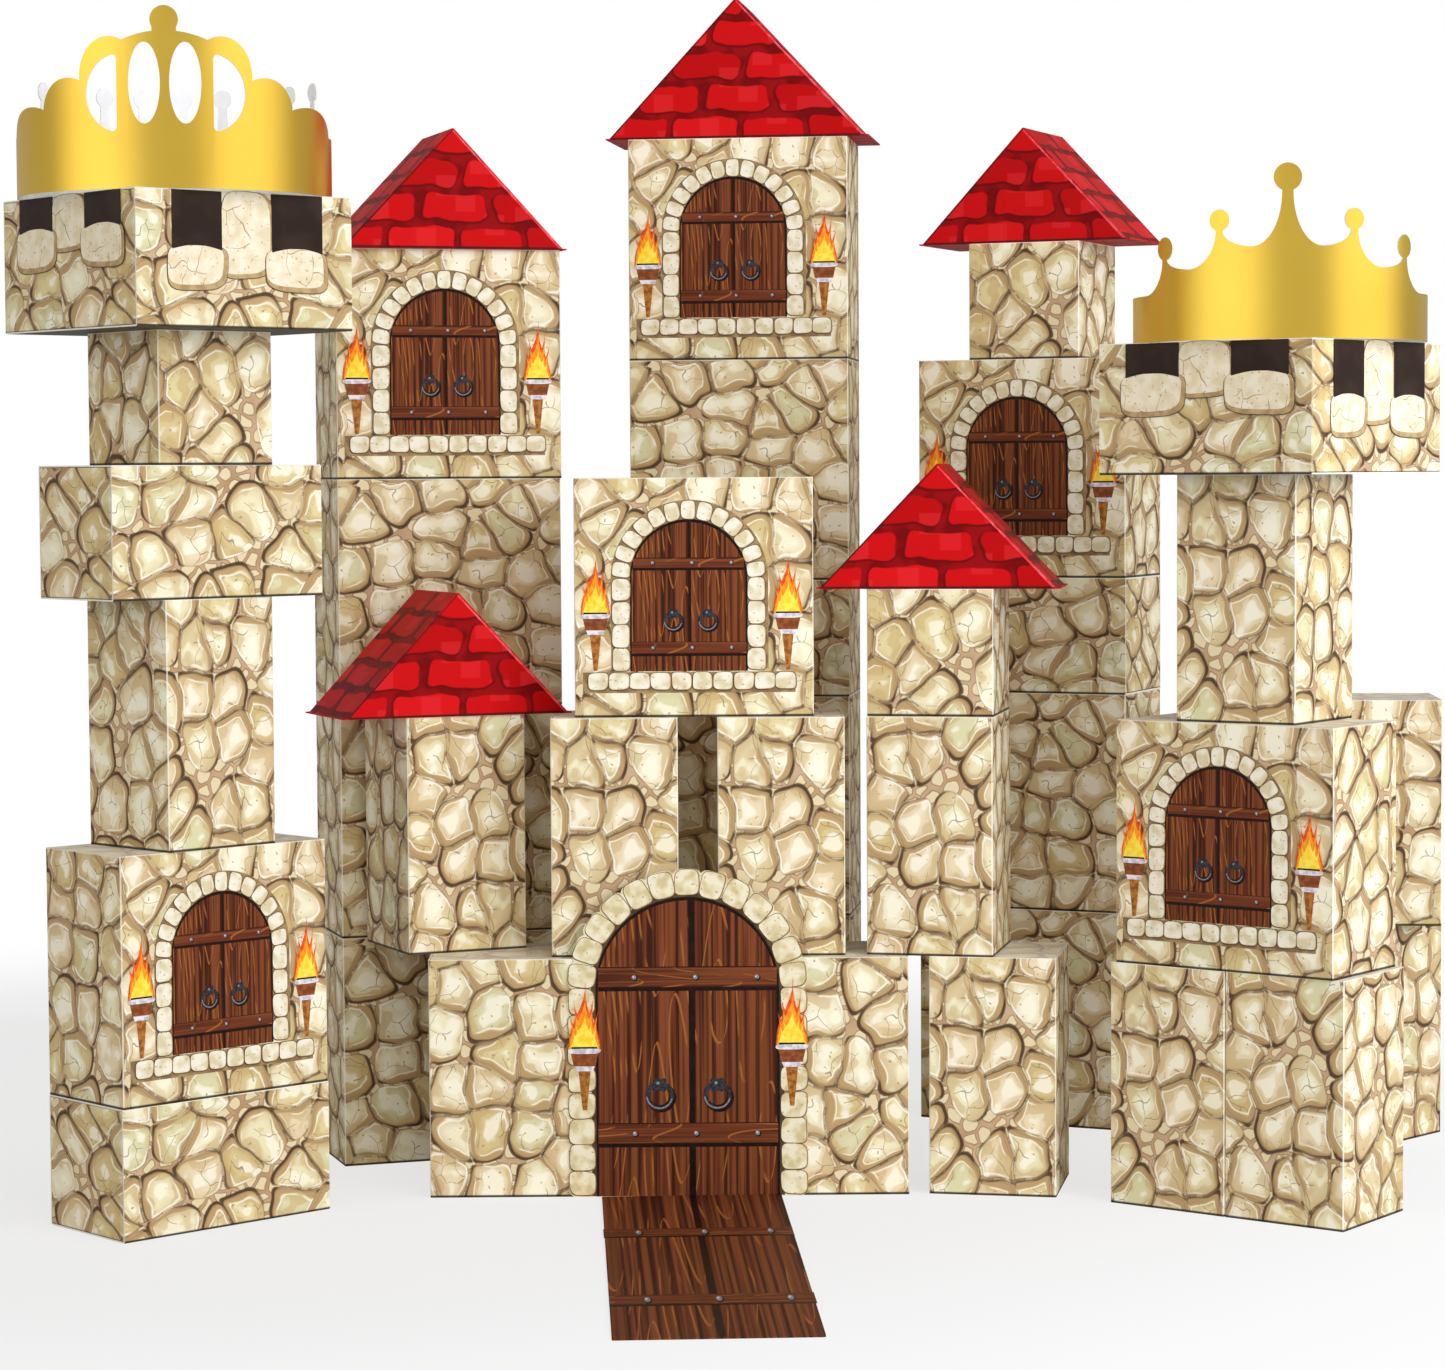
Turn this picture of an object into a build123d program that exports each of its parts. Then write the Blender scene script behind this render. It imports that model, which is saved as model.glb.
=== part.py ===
from build123d import *
from math import radians, sin, tan
import os

# Card
card = 1.0              # thickness of the printed card that the cartons are folded from
fold_bevel = 0.7        # outside of a fold
slit = 0.4              # open line between a closing panel and the walls beside it
tuck_length = 24.0      # tongue of a closing panel, tucked behind the wall
tuck_inset = 3.0        # how far the tongue stays back from each side wall

# Cartons: three sizes, stood up or laid on a side
long_side = 160.0
short_side = 85.0

# Roofs: folded prisms with a gable at each end
roof_span = 163.0
roof_rise = 84.0
large_roof_span = 192.0
large_roof_rise = 101.0
roof_depth = 85.0
eave_lip = 3.0          # flat strip of base card beyond the foot of each slope
ridge_radius = 1.5

# Gate: a die-cut sheet with a rim of printed stones
gate_radius = 73.5      # to the outside of the flat rim, before the stones stand out
gate_spring = 140.0     # height where the straight sides meet the arch
rim_stone_overlap = 1.0 # of each stone over the next, where their rounded corners meet
rim_stone_depth = 15.0  # from its outer edge inwards
rim_stone_step = 6.5    # how far a stone stands out past the flat rim
rim_stone_corner = 6.0
arch_stones = 13
leg_stones = 8
gate_x = 12.5           # centre of the gate from the seam of the two wall cartons
sheet = 1.0             # thickness of the gate and the drawbridge

# Drawbridge: a plain sheet on the ground
bridge_width = 120.0
bridge_length = 408.0
bridge_x = 14.5
bridge_yaw = 2.1
bridge_gap = 0.5        # between its nearer corner and the gate
bridge_corner = 1.5

# Crowns: strips of gold card closed into rings
crown_card = 0.8
overlap_angle = 14.0    # the strip's end lies inside its start along this much of the ring
cutter_reach = 14.0     # half the length of a radial cut or tongue through the ring
blank_overhang = 21.0   # of the disc that a ring is cut from, past every tongue
crown_room = 130.0      # taller than any point

# Crown with five knobbed points
point_overhang = 15.0   # how far its ring reaches past the sides of the battlement
point_radius = long_side / 2 + point_overhang
point_band = 30.0       # height of the plain strip
point_pitch = 26.4      # degrees from one point to the next
knob_heights = (101.0, 75.0, 59.0)      # centre of the knob, middle point first
knob_radii = (8.8, 6.8, 7.4)
neck_widths = (7.0, 5.0, 5.0)
valleys = (58.0, 58.0, 45.0, point_band)    # lowest edge beside each point, from the middle outwards
point_turn = -6.0       # how far the middle point is turned from the front

# Crown with lobes and windows
lobe_overhang = 20.0
lobe_radius = long_side / 2 + lobe_overhang
lobe_band = 38.0
lobe_turn = 4.5
brow_half = 27.5        # half width of the middle lobe
brow_foot = 90.5        # height where the middle lobe meets the next
brow_top = 96.5
# Each lobe beside it: its angle, centre height, half width as a share of the radius, and rise
lobes = ((20.5, 70.0, 0.2, 23.5), (38.0, 50.0, 0.215, 19.5), (61.0, 36.0, 0.33, 18.0))
top_knob_radius = 8.7
top_knob_height = 103.0
top_neck = 15.0
oval_place = 12.6       # window centres, from the middle of the crown
oval_height = 64.5
oval_radii = (9.8, 25.0)
crescent_angle = 23.0
crescent_low = 34.5
crescent_high = 83.0
crescent_back = 10.0    # from the window's centre line to its straight side
crescent_bulge = 21.0   # from its straight side to its round side
crescent_corner = 3.0
stalk_pitch = 15.3      # degrees between the knobbed stalks at the back
stalks = 9
stalk_height = 73.5     # centre of a stalk's knob
stalk_knob = 6.2
knob_sides = 16
stalk_foot = 9.0
stalk_neck = 5.0

# Gap between cartons that stand side by side
seam_gap = 0.5

pieces = []


def keep(piece, label):
    piece.part.label = label
    pieces.append(piece)


def ground(x, y, yaw, longs=0, shorts=0):
    # Plane on the castle's plan, x in long sides and y in short sides from the middle of the
    # front wall's foot, at the height of the carton sides below it
    level = longs * long_side + shorts * short_side
    return Plane(origin=(x * long_side, y * short_side, level), z_dir=(0, 0, 1)).rotated((0, 0, yaw))


def beside(base, distance):
    return Plane(origin=base.origin + base.x_dir * distance, x_dir=base.x_dir, z_dir=base.z_dir)


def on_end(base, width, height):
    # Plane on the left end of a laid carton, looking along its length
    origin = base.origin - base.x_dir * (width / 2) + base.z_dir * (height / 2)
    return Plane(origin=origin, x_dir=base.y_dir, z_dir=base.x_dir)


def fold_carton(label, base, width, depth, height):
    """A sleeve of four walls, closed at both ends by a hinged panel with a tucked tongue."""
    inner_width = width - 2 * card
    inner_depth = depth - 2 * card
    with BuildPart() as carton:
        with BuildSketch(base):
            outline = Rectangle(width, depth)
            chamfer(outline.vertices(), fold_bevel)
        extrude(amount=height)
        with BuildSketch(base.offset(card)):
            Rectangle(inner_width, inner_depth)
        extrude(amount=height - 2 * card, mode=Mode.SUBTRACT)
        # The panel's free edge is at the front of the upper end and at the back of the lower one
        ends = ((height - card, -1, -1), (0, 1, 1))
        for level, free_side, inward in ends:
            with BuildSketch(base.offset(level)):
                with Locations((0, free_side * (inner_depth - slit) / 2)):
                    Rectangle(inner_width, slit)
                with GridLocations(inner_width - slit, 0, 2, 1):
                    Rectangle(slit, inner_depth)
            extrude(amount=card, mode=Mode.SUBTRACT)
            panel_inside = level if inward < 0 else level + card
            tongue = free_side * (inner_depth / 2 - slit - card / 2)
            with BuildSketch(base.offset(panel_inside - inward * card / 2)):
                with Locations((0, tongue)):
                    Rectangle(inner_width - 2 * tuck_inset, card)
            extrude(amount=inward * (tuck_length + card / 2))
    keep(carton, label)


def block(label, base):
    fold_carton(label, base, long_side, short_side, long_side)


def post(label, base):
    fold_carton(label, base, short_side, short_side, long_side)


def cube(label, base):
    fold_carton(label, base, short_side, short_side, short_side)


def beam(label, base):
    # A post laid on its side
    fold_carton(label, on_end(base, long_side, short_side), short_side, short_side, long_side)


def battlement(label, base):
    # A block laid on its face
    fold_carton(label, on_end(base, long_side, short_side), long_side, short_side, long_side)


def fold_roof(label, base, span, rise):
    """A gabled prism: a base, two slopes, and a gable at each end that is hinged on the base."""
    foot = span / 2 - eave_lip
    drop = rise - card
    wall = card * (drop**2 + foot**2) ** 0.5 / foot
    inner_foot = foot - wall * foot / drop
    across = Plane(origin=base.origin, x_dir=base.x_dir, z_dir=-base.y_dir)
    with BuildPart() as roof:
        with BuildSketch(across) as gable:
            with BuildLine():
                Polyline(
                    (-span / 2, 0), (span / 2, 0), (span / 2, card), (foot, card),
                    (0, rise), (-foot, card), (-span / 2, card), close=True,
                )
            make_face()
            fillet(gable.vertices().sort_by(Axis.Y)[-1], ridge_radius)
        extrude(amount=roof_depth / 2, both=True)
        with BuildSketch(across):
            with BuildLine():
                Polyline((-inner_foot, card), (inner_foot, card), (0, rise - wall), close=True)
            make_face()
        extrude(amount=roof_depth / 2 - card, both=True, mode=Mode.SUBTRACT)
        # Open line between each gable and the slopes behind it
        for side in (-1, 1):
            with BuildSketch(across.offset(side * (roof_depth / 2 - card - slit / 2))):
                with Locations((0, (rise + card) / 2)):
                    Rectangle(span + 2 * card, rise - card)
            extrude(amount=slit / 2, both=True, mode=Mode.SUBTRACT)
    keep(roof, label)


def touching(base, radius, angle):
    # Plane against the outside of a ring, turned from its front, with y up
    turned = base.rotated((0, 0, angle))
    return Plane(origin=base.origin - turned.y_dir * radius, x_dir=turned.x_dir, z_dir=-turned.y_dir)


def overlap(base, radius):
    # The strip's end, lying against the inside of its start at the back
    reach = radius * tan(radians(overlap_angle / 2))
    with BuildSketch(base) as layer:
        Circle(radius - crown_card)
        Circle(radius - 2 * crown_card, mode=Mode.SUBTRACT)
        with BuildLine():
            Polyline((0, 0), (reach, radius), (-reach, radius), close=True)
        make_face(mode=Mode.INTERSECT)
    return layer.sketch


def point_crown(label, base):
    """A ring with a plain band at the back and five knobbed points at the front."""
    reach = point_radius * tan(radians(point_pitch / 2))
    with BuildPart() as crown:
        with BuildSketch(base):
            Circle(point_radius + blank_overhang)
        extrude(amount=point_band)
        for place in range(-2, 3):
            number = abs(place)
            knob = knob_heights[number]
            neck_top = knob - knob_radii[number]
            neck = neck_widths[number] / 2
            # The valley nearer the middle of the crown comes first, then the outer one
            inner, outer = valleys[number], valleys[number + 1]
            left, right = (inner, outer) if place > 0 else (outer, inner)
            with BuildSketch(touching(base, point_radius, place * point_pitch)):
                with BuildLine():
                    Polyline((-reach, left), (-reach, 0), (reach, 0), (reach, right))
                    EllipticalCenterArc((reach, neck_top), reach - neck, neck_top - right, 180, arc_size=90)
                    Polyline((neck, neck_top), (neck, knob), (-neck, knob), (-neck, neck_top))
                    EllipticalCenterArc((-reach, neck_top), reach - neck, neck_top - left, 270, arc_size=90)
                make_face()
                with Locations((0, knob)):
                    Circle(knob_radii[number])
            extrude(amount=cutter_reach, both=True)
        with BuildSketch(base):
            Circle(point_radius)
            Circle(point_radius - crown_card, mode=Mode.SUBTRACT)
        extrude(amount=crown_room, mode=Mode.INTERSECT)
        extrude(overlap(base, point_radius), amount=point_band)
    keep(crown, label)


def lobe_crown(label, base):
    """A ring with rounded lobes and windows at the front and knobbed stalks at the back."""
    neck_meets = top_knob_height - (top_knob_radius**2 - (top_neck / 2) ** 2) ** 0.5
    with BuildPart() as crown:
        with BuildSketch(base):
            Circle(lobe_radius + blank_overhang)
        extrude(amount=lobe_band)
        with BuildSketch(touching(base, lobe_radius, 0)):
            with BuildLine():
                Polyline((brow_half, brow_foot), (brow_half, 0), (-brow_half, 0), (-brow_half, brow_foot))
                ThreePointArc((-brow_half, brow_foot), (0, brow_top), (brow_half, brow_foot))
            make_face()
            with Locations((0, neck_meets / 2)):
                Rectangle(top_neck, neck_meets)
            with Locations((0, top_knob_height)):
                Circle(top_knob_radius)
        extrude(amount=cutter_reach, both=True)
        for angle, centre, share, rise in lobes:
            reach = share * lobe_radius
            for side in (-1, 1):
                with BuildSketch(touching(base, lobe_radius, side * angle)):
                    with Locations((0, centre)):
                        Ellipse(reach, rise)
                    with Locations((0, centre / 2)):
                        Rectangle(2 * reach, centre)
                extrude(amount=cutter_reach, both=True)
        for place in range(stalks):
            angle = 180 + (place - (stalks - 1) / 2) * stalk_pitch
            with BuildSketch(touching(base, lobe_radius, angle)):
                with BuildLine():
                    Polyline(
                        (-stalk_foot / 2, 0), (stalk_foot / 2, 0), (stalk_foot / 2, lobe_band),
                        (stalk_neck / 2, stalk_height), (-stalk_neck / 2, stalk_height),
                        (-stalk_foot / 2, lobe_band), close=True,
                    )
                make_face()
                with Locations((0, stalk_height)):
                    RegularPolygon(stalk_knob, knob_sides)
            extrude(amount=cutter_reach, both=True)
        with BuildSketch(base):
            Circle(lobe_radius)
            Circle(lobe_radius - crown_card, mode=Mode.SUBTRACT)
        extrude(amount=crown_room, mode=Mode.INTERSECT)
        with BuildSketch(touching(base, lobe_radius, 0)):
            with Locations((-oval_place, oval_height), (oval_place, oval_height)):
                Ellipse(*oval_radii)
        extrude(amount=cutter_reach, both=True, mode=Mode.SUBTRACT)
        crescent_middle = (crescent_low + crescent_high) / 2
        for side in (-1, 1):
            straight = -side * crescent_back
            round_side = side * (crescent_bulge - crescent_back)
            with BuildSketch(touching(base, lobe_radius, side * crescent_angle)) as window:
                with BuildLine():
                    Line((straight, crescent_low), (straight, crescent_high))
                    ThreePointArc(
                        (straight, crescent_high), (round_side, crescent_middle), (straight, crescent_low),
                    )
                make_face()
                fillet(window.vertices(), crescent_corner)
            extrude(amount=cutter_reach, both=True, mode=Mode.SUBTRACT)
        extrude(overlap(base, lobe_radius), amount=lobe_band)
    keep(crown, label)


def die_cut_gate(label, base):
    """An arched sheet whose outer edge follows a row of rounded stones."""
    outside = gate_radius + rim_stone_step
    centre = outside - rim_stone_depth / 2
    leg_pitch = gate_spring / leg_stones
    arch_pitch = 180 / arch_stones
    leg_stone = leg_pitch + rim_stone_overlap
    arch_stone = outside * radians(arch_pitch) + rim_stone_overlap
    front = Plane(origin=base.origin, x_dir=base.x_dir, z_dir=-base.y_dir)
    with BuildPart() as gate:
        with BuildSketch(front):
            with Locations((0, gate_spring / 2)):
                Rectangle(2 * gate_radius, gate_spring)
            with Locations((0, gate_spring)):
                Circle(gate_radius)
                with PolarLocations(centre, arch_stones, arch_pitch / 2, 180):
                    RectangleRounded(rim_stone_depth, arch_stone, rim_stone_corner)
            with Locations((-centre, gate_spring / 2), (centre, gate_spring / 2)):
                with GridLocations(0, leg_pitch, 1, leg_stones):
                    RectangleRounded(rim_stone_depth, leg_stone, rim_stone_corner)
            # The lowest stones are cut off level with the ground
            with Locations((0, -rim_stone_overlap)):
                Rectangle(2 * outside, 2 * rim_stone_overlap, mode=Mode.SUBTRACT)
        extrude(amount=sheet)
    keep(gate, label)


def flat_sheet(label, base, width, length):
    # A sheet on the ground, its back edge in the middle of the plane
    with BuildPart() as bridge:
        with BuildSketch(base):
            RectangleRounded(width, length, bridge_corner, align=(Align.CENTER, Align.MAX))
        extrude(amount=sheet)
    keep(bridge, label)


# Front wall: two blocks, two posts on them, and the gatehouse block with a door over the gap
wall_x = (long_side + seam_gap) / (2 * long_side)
block("front_wall_left", ground(-wall_x, 0.5, 0))
block("front_wall_right", ground(wall_x, 0.5, 0))
post("gatehouse_post_left", ground(-0.222, 0.61, 0, longs=1))
post("gatehouse_post_right", ground(0.475, 0.61, 0, longs=1))
block("gatehouse_door", ground(0.115, 0.73, 0, longs=2))
die_cut_gate("gate", beside(ground(0, 0, 0), gate_x))
bridge_start = sheet + bridge_gap + bridge_width / 2 * sin(radians(bridge_yaw))
bridge_base = Plane(origin=(bridge_x, -bridge_start, 0), z_dir=(0, 0, 1)).rotated((0, 0, bridge_yaw))
flat_sheet("drawbridge", bridge_base, bridge_width, bridge_length)

# Small turret on the left end of the front wall
post("left_turret_post", ground(-0.959, 0.962, 24.3, longs=1))
fold_roof("left_turret_roof", ground(-0.981, 0.92, 23, longs=2), roof_span, roof_rise)

# Small turret on the right end of the front wall and on the pillar beside it
post("right_pillar", ground(1.4, 0.41, -11.6))
post("right_turret_post", ground(1.15, 0.518, -13, longs=1))
cube("right_turret_cube", ground(1.152, 0.588, -12, longs=2))
fold_roof("right_turret_roof", ground(1.172, 0.588, -9, longs=2, shorts=1), roof_span, roof_rise)

# Left front tower, its cartons turned a little against each other
beam("left_front_base", ground(-1.95, -0.67, 42))
block("left_front_door", ground(-1.95, -0.67, 42.5, shorts=1))
post("left_front_shaft", ground(-1.962, -0.706, 44.6, longs=1, shorts=1))
beam("left_front_ledge", ground(-1.95, -0.69, 41.5, longs=2, shorts=1))
cube("left_front_neck", ground(-1.95, -0.7, 40, longs=2, shorts=2))
battlement("left_front_battlement", ground(-1.95, -0.73, 40, longs=2, shorts=3))
lobe_crown("left_crown", ground(-1.955, -0.71, lobe_turn, longs=2, shorts=4))

# Left back tower: four blocks and a roof
block("left_back_base", ground(-1.03, 2.12, 18))
block("left_back_lower_wall", ground(-1.025, 2.14, 17, longs=1))
block("left_back_upper_wall", ground(-1.025, 2.15, 17, longs=2))
block("left_back_door", ground(-1.016, 2.17, 15.5, longs=3))
fold_roof("left_back_roof", ground(-1.0, 2.1, 18, longs=4), roof_span, roof_rise)

# Tallest tower, behind the gate
block("tall_tower_base", ground(0.3625, 3.35, -8))
block("tall_tower_lower_wall", ground(0.3625, 3.35, -8, longs=1))
beam("tall_tower_beam", ground(0.3625, 3.35, -8, longs=2))
block("tall_tower_upper_wall", ground(0.3625, 3.35, -8, longs=2, shorts=1))
block("tall_tower_door", ground(0.3625, 3.35, -8, longs=3, shorts=1))
fold_roof("tall_tower_roof", ground(0.3625, 3.35, -8.5, longs=4, shorts=1), large_roof_span, large_roof_rise)

# Right back tower
block("right_back_base", ground(1.731, 3.565, -24.5))
block("right_back_wall", ground(1.731, 3.565, -24.5, longs=1))
beam("right_back_beam", ground(1.731, 3.565, -24.5, longs=2))
block("right_back_door", ground(1.731, 3.565, -24.5, longs=2, shorts=1))
cube("right_back_cube", ground(1.744, 3.565, -24.5, longs=3, shorts=1))
fold_roof("right_back_roof", ground(1.744, 3.565, -24.8, longs=3, shorts=2), roof_span, roof_rise)

# Right front tower, standing on a pair of posts
right_foot = ground(2.406, -0.588, -37)
post("right_front_base_left", beside(right_foot, -(short_side + seam_gap) / 2))
post("right_front_base_right", beside(right_foot, (short_side + seam_gap) / 2))
block("right_front_door", ground(2.4, -0.588, -38, longs=1))
post("right_front_shaft", ground(2.444, -0.506, -35, longs=2))
battlement("right_front_battlement", ground(2.475, -0.388, -41, longs=3))
point_crown("right_crown", ground(2.51, -0.388, point_turn, longs=3, shorts=1))

# Outer wall at the right: two blocks, the upper one turned
block("outer_wall_lower", ground(2.9625, 2.87, -44))
block("outer_wall_upper", ground(2.9375, 2.294, -5, longs=1))

# The castle stands on the origin: the middle of its outline, at the ground
boxes = [piece.part.bounding_box() for piece in pieces]
middle_x = (min(box.min.X for box in boxes) + max(box.max.X for box in boxes)) / 2
middle_y = (min(box.min.Y for box in boxes) + max(box.max.Y for box in boxes)) / 2
os.makedirs("parts", exist_ok=True)
for piece in pieces:
    piece.part.position = (-middle_x, -middle_y, 0)
    export_step(piece.part, f"parts/{piece.part.label}.step")
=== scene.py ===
import bmesh
import bpy
from math import cos, pi, radians, sin
from mathutils import Matrix, Vector


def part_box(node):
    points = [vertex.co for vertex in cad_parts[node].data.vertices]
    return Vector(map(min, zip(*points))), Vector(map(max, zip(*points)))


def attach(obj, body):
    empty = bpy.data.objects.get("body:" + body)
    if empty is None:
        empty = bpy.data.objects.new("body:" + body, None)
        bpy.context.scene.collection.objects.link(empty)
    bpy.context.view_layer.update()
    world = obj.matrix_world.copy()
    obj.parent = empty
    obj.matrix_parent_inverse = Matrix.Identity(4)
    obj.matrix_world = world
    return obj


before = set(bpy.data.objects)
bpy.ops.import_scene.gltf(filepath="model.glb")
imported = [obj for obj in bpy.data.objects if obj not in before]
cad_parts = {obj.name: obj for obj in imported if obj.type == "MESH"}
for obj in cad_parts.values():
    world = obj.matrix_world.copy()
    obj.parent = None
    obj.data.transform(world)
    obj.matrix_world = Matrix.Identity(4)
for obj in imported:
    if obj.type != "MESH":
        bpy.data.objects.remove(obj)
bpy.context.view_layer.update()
scene = bpy.context.scene
scene.view_settings.view_transform = "Standard"

# Where the castle is seen from
# A long lens stands well back from the gate, as high as the top of the gatehouse. It is turned a
# little to the right, tipped down and rolled a hair clockwise.
MM = 0.001
HALF_SEAM = 0.25 * MM           # half the gap between the two blocks of the front wall
CAMERA_ASIDE, CAMERA_BACK, CAMERA_HEIGHT = 0.01565, 2.4578, 0.4832      # metres from seam, wall, floor
wall_low, wall_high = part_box("front_wall_left")
seam_x = wall_high.x + HALF_SEAM
camera = bpy.data.objects.new("camera", bpy.data.cameras.new("camera"))
scene.collection.objects.link(camera)
scene.camera = camera
camera.data.sensor_width = 36
camera.data.lens = 92.35
camera.location = (seam_x + CAMERA_ASIDE, wall_low.y - CAMERA_BACK, CAMERA_HEIGHT)
turn, tip, roll = radians(0.5), radians(3.28), radians(0.34)
ahead = Vector((sin(turn) * cos(tip), cos(turn) * cos(tip), -sin(tip)))
level_right = ahead.cross(Vector((0, 0, 1))).normalized()
level_up = level_right.cross(ahead)
camera_right = level_right * cos(roll) - level_up * sin(roll)
camera_up = level_up * cos(roll) + level_right * sin(roll)
camera.rotation_euler = Matrix((camera_right, camera_up, -ahead)).transposed().to_euler()


# Cartons
# Folded from box card, offset printed all over with rounded field stones and varnished. The
# stones' relief is only in the print, and one print wraps round the upright folds of each.

def linear(code):
    """An sRGB hex colour as the linear values that a node takes."""
    values = [int(code[place:place + 2], 16) / 255 for place in (1, 3, 5)]
    return tuple(v / 12.92 if v <= 0.04045 else ((v + 0.055) / 1.055) ** 2.4 for v in values) + (1,)


def add(tree, kind, *inputs, stops=(), **settings):
    """Adds a node. An input is a value, or the node or socket that feeds it, in the node's own order."""
    node = tree.nodes.new("ShaderNode" + kind)
    for name, value in settings.items():
        setattr(node, name, value)
    for number, (place, code) in enumerate(stops):
        elements = node.color_ramp.elements
        stop = elements[number] if number < 2 else elements.new(place)
        stop.position = place
        stop.color = linear(code)
    shown = [socket for socket in node.inputs if socket.enabled]
    for socket, value in zip(shown, inputs):
        if isinstance(value, bpy.types.Node):
            value = [output for output in value.outputs if output.enabled][0]
        if isinstance(value, bpy.types.NodeSocket):
            tree.links.new(value, socket)
        elif isinstance(value, str):
            socket.default_value = linear(value)
        elif value is not None:
            socket.default_value = value
    return node


def tint(tree, tone, value, start, full, amount, colour):
    """Mixes a colour into a tone: none at the value's start, and the given amount once it is full."""
    share = add(tree, "MapRange", value, start, full, 0.0, amount)
    return add(tree, "Mix", share, tone, colour, data_type="RGBA")


def new_material(name, roughness, gloss, metallic=0.0, relief=0.25, grain=0.8):
    """A material with even shader values and a fine grain of the given mm in its surface."""
    material = bpy.data.materials.new(name)
    material.use_nodes = True
    tree = material.node_tree
    shader = tree.nodes["Principled BSDF"]
    shader.inputs["Roughness"].default_value = roughness
    shader.inputs["Metallic"].default_value = metallic
    shader.inputs["Specular IOR Level"].default_value = gloss
    place = add(tree, "TexCoord").outputs["Object"]
    grit = add(tree, "TexNoise", place, 1 / (grain * MM), 2.0, 0.5)
    bump = add(tree, "Bump", relief, 0.1 * MM)
    tree.links.new(grit.outputs[0], bump.inputs["Height"])
    tree.links.new(bump.outputs[0], shader.inputs["Normal"])
    return material, tree, shader


def cell_group(name, kind_of_pick):
    """A node group, still empty, that turns a place in the print into a depth and a random pick."""
    tree = bpy.data.node_groups.new(name, "ShaderNodeTree")
    tree.interface.new_socket("Place", in_out="INPUT", socket_type="NodeSocketVector")
    tree.interface.new_socket("Depth", in_out="OUTPUT", socket_type="NodeSocketFloat")
    tree.interface.new_socket("Pick", in_out="OUTPUT", socket_type=kind_of_pick)
    return tree, tree.nodes.new("NodeGroupInput").outputs[0], tree.nodes.new("NodeGroupOutput")


def stone_cells(name, size, tall, gap, reach, sway):
    """How many mm a place lies inside its stone, and a random colour for each stone.

    A stone is size mm wide and tall times as high, with gap mm of mortar at each side. Nothing of it
    lies further from its middle than reach times its size, and its borders wander by sway mm.
    """
    tree, place, leave = cell_group(name, "NodeSocketColor")
    stray = 0.88                # how far the stones' middles lie off a regular grid
    rounding = 0.26 * size
    wander = add(tree, "TexNoise", place, 1 / (0.9 * size), 0.6, 0.5, noise_dimensions="2D")
    offset = add(tree, "VectorMath", wander.outputs["Color"], (0.5, 0.5, 0.5), operation="SUBTRACT")
    moved = add(tree, "VectorMath", offset, (sway, sway, 0), place, operation="MULTIPLY_ADD")
    cell = add(tree, "VectorMath", moved, (1 / size, 1 / (size * tall), 0), operation="MULTIPLY")
    centres = add(tree, "TexVoronoi", cell, 1.0, 0.0, 0.5, 2.0, stray, voronoi_dimensions="2D")
    borders = add(tree, "TexVoronoi", cell, 1.0, 0.0, 0.5, 2.0, stray, voronoi_dimensions="2D",
                  feature="DISTANCE_TO_EDGE")
    inside = add(tree, "Math", borders.outputs["Distance"], size, -gap, operation="MULTIPLY_ADD")
    inner = add(tree, "Math", centres.outputs["Distance"], -size, reach * size, operation="MULTIPLY_ADD")
    depth = add(tree, "Math", inside, inner, rounding, operation="SMOOTH_MIN")
    tree.links.new(depth.outputs[0], leave.inputs[0])
    tree.links.new(centres.outputs["Color"], leave.inputs[1])
    return tree


field_cells = stone_cells("field_stones", size=27.0, tall=1.2, gap=0.45, reach=0.68, sway=10.0)
pebble_cells = stone_cells("pebbles", size=10.0, tall=1.1, gap=0.8, reach=0.62, sway=4.0)
crack_cells = stone_cells("cracks", size=15.0, tall=1.2, gap=0.0, reach=9.0, sway=11.0)
TO_SHADE = (2.1, 1.9, 0.0)      # mm from a place towards the printed shadow side of its stone
CONTOUR = "#4C3624"
# Pale card core, also used as a painted highlight along the folds
PALE_CORE_AND_HIGHLIGHT = "#FBF6E8"
# Near-black painted shade for the shadow in the gaps between stacked cartons
JOINT_SHADE = "#1C1410"


def add_cracks(tree, tone, place, start, full, amount):
    """Thin brown cracks where a noise passes from start to full, at most as strong as the amount."""
    patch_size = 24.0           # mm
    where = add(tree, "TexNoise", place, 1 / patch_size, 0.0, 0.5, noise_dimensions="2D")
    here = add(tree, "MapRange", where, start, full, 0.0, amount)
    from_line = add(tree, "Group", place, node_tree=crack_cells).outputs[0]
    line = add(tree, "MapRange", from_line, 0.3, 0.12)
    crack = add(tree, "Math", here, line, operation="MULTIPLY")
    return add(tree, "Mix", crack, tone, "#86684A", data_type="RGBA")


def stone_face(tree, place, pick, far_depth):
    """Gouache tints of one stone: its own tone, washed in soft steps, with chips and thin cracks."""
    tones = [(0.0, "#EBE0B8"), (0.15, "#E0D09C"), (0.3, "#F1E8C8"), (0.45, "#DAD4A8"),
             (0.58, "#E8D6B2"), (0.72, "#D6C18C"), (0.84, "#EEE5C0"), (0.94, "#E5D6A6")]
    wash_size, chip_size = 15.0, 3.6        # mm
    tone = add(tree, "ValToRGB", pick, stops=tones)
    tone.color_ramp.interpolation = "CONSTANT"
    wash = add(tree, "TexNoise", place, 1 / wash_size, 1.2, 0.5, noise_dimensions="2D")
    # Lighter towards the middle of the stone and its lit side
    lit = add(tree, "Math", far_depth, 0.034, wash, operation="MULTIPLY_ADD")
    tone = tint(tree, tone, far_depth, 7.5, 0.5, 0.5, "#BFA06C")
    tone = tint(tree, tone, lit, 0.66, 0.57, 0.5, "#C4A469")
    tone = tint(tree, tone, lit, 0.78, 0.88, 0.75, "#FAF4DF")
    tone = add_cracks(tree, tone, place, 0.5, 0.54, 0.75)
    chips = add(tree, "TexNoise", place, 1 / chip_size, 1.0, 0.5, noise_dimensions="2D")
    return tint(tree, tone, chips, 0.765, 0.78, 0.8, "#A98C58")


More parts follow.
